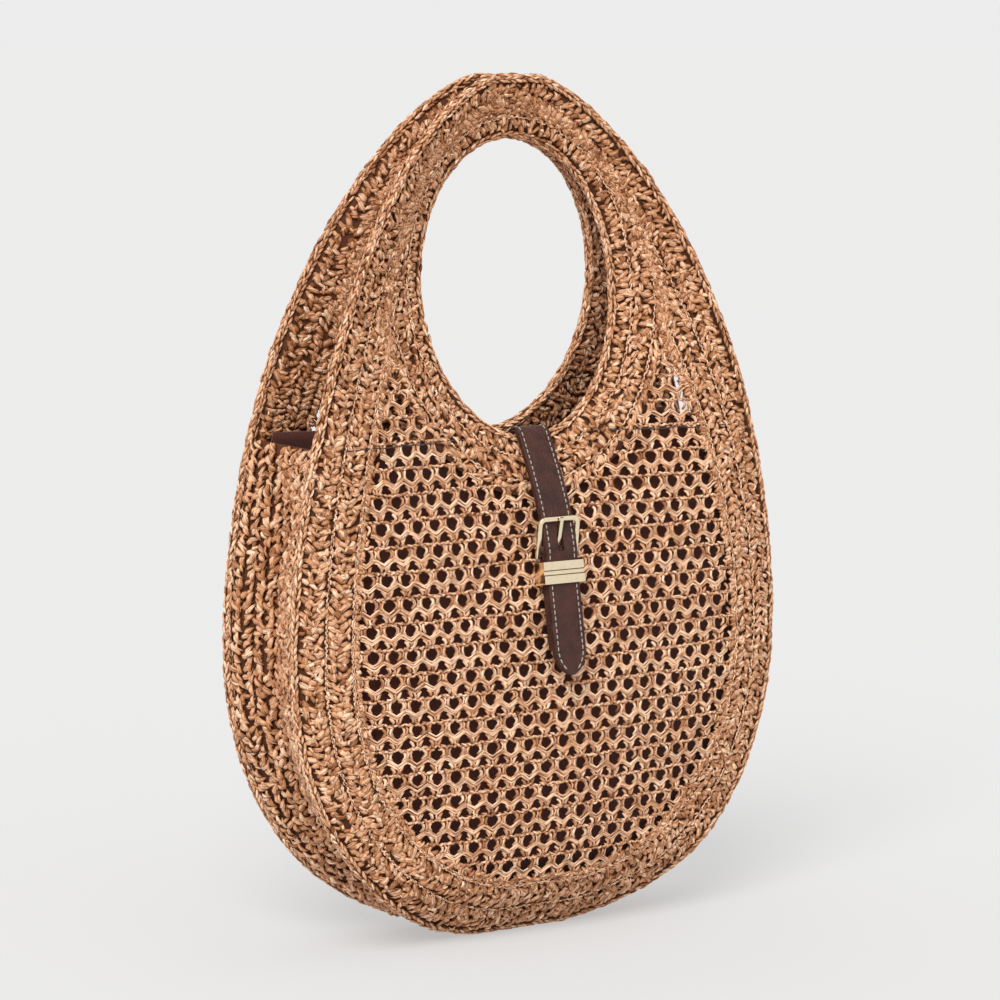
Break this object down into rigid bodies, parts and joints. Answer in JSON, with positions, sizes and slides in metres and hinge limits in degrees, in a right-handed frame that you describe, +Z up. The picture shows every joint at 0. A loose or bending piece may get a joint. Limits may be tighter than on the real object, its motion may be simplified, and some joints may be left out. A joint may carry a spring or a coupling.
{
  "type": "hobo bag",
  "caption": "Egg-shaped crocheted hobo bag with an oval handle opening, folded gusset, dark lining and a leather closure strap with a gold buckle.",
  "frame": {"origin": "on the floor under the middle of the bounding box", "axes": "+Z up to the top of the handle, -Y out of the front, where the buckle is, +X to the right as seen from the front"},
  "size_m": [0.3036, 0.1204, 0.455],
  "materials": {
    "raffia_crochet": "dense crochet of flat paper raffia, satin",
    "raffia_openwork": "openwork crochet of flat paper raffia, satin",
    "raffia_cord": "chain-stitched edging, satin",
    "lining_twill": "dark ribbed twill, matt",
    "strap_leather": "fine-grained, semi-matt, pale edge stitching",
    "gold_metal": "pale gold, polished",
    "nickel_steel": "nickel plated"
  },
  "bodies": {
    "bag": {"front_border_band": "raffia_crochet", "front_handle_ring": "raffia_crochet", "front_mesh_field": "raffia_openwork", "front_edge_cord": "raffia_cord", "front_rim_cord": "raffia_cord", "rear_border_band": "raffia_crochet", "rear_handle_ring": "raffia_crochet", "rear_mesh_field": "raffia_openwork", "rear_edge_cord": "raffia_cord", "rear_rim_cord": "raffia_cord", "gusset": "raffia_crochet", "lining_front": "lining_twill", "lining_rear": "lining_twill", "lining_gusset": "lining_twill", "lining_pocket": "lining_twill", "strap_anchor": "strap_leather", "strap_anchor_patch": "strap_leather", "snap_patch": "strap_leather", "snap_female": "nickel_steel", "snap_washer": "nickel_steel"},
    "strap_bridge": {"strap_bridge": "strap_leather"},
    "strap_flap": {"strap_flap": "strap_leather", "buckle_chape": "strap_leather", "buckle_frame": "gold_metal", "buckle_hinge_bar": "nickel_steel", "strap_keeper": "gold_metal", "snap_male": "nickel_steel"},
    "buckle_prong": {"buckle_prong": "gold_metal"}
  },
  "joints": [
    {"name": "strap_lift", "type": "hinge", "parent": "bag", "child": "strap_bridge", "pos_m": [0, 0.02916, 0.24], "axis": [-1, 0, 0], "range_deg": [0, 35]},
    {"name": "strap_open", "type": "hinge", "parent": "strap_bridge", "child": "strap_flap", "pos_m": [0, -0.0178, 0.27015], "axis": [-1, 0, 0], "range_deg": [0, 105]},
    {"name": "prong_turn", "type": "hinge", "parent": "strap_flap", "child": "buckle_prong", "pos_m": [0, -0.04429, 0.20638], "axis": [1, 0, 0], "range_deg": [0, 18]}
  ]
}
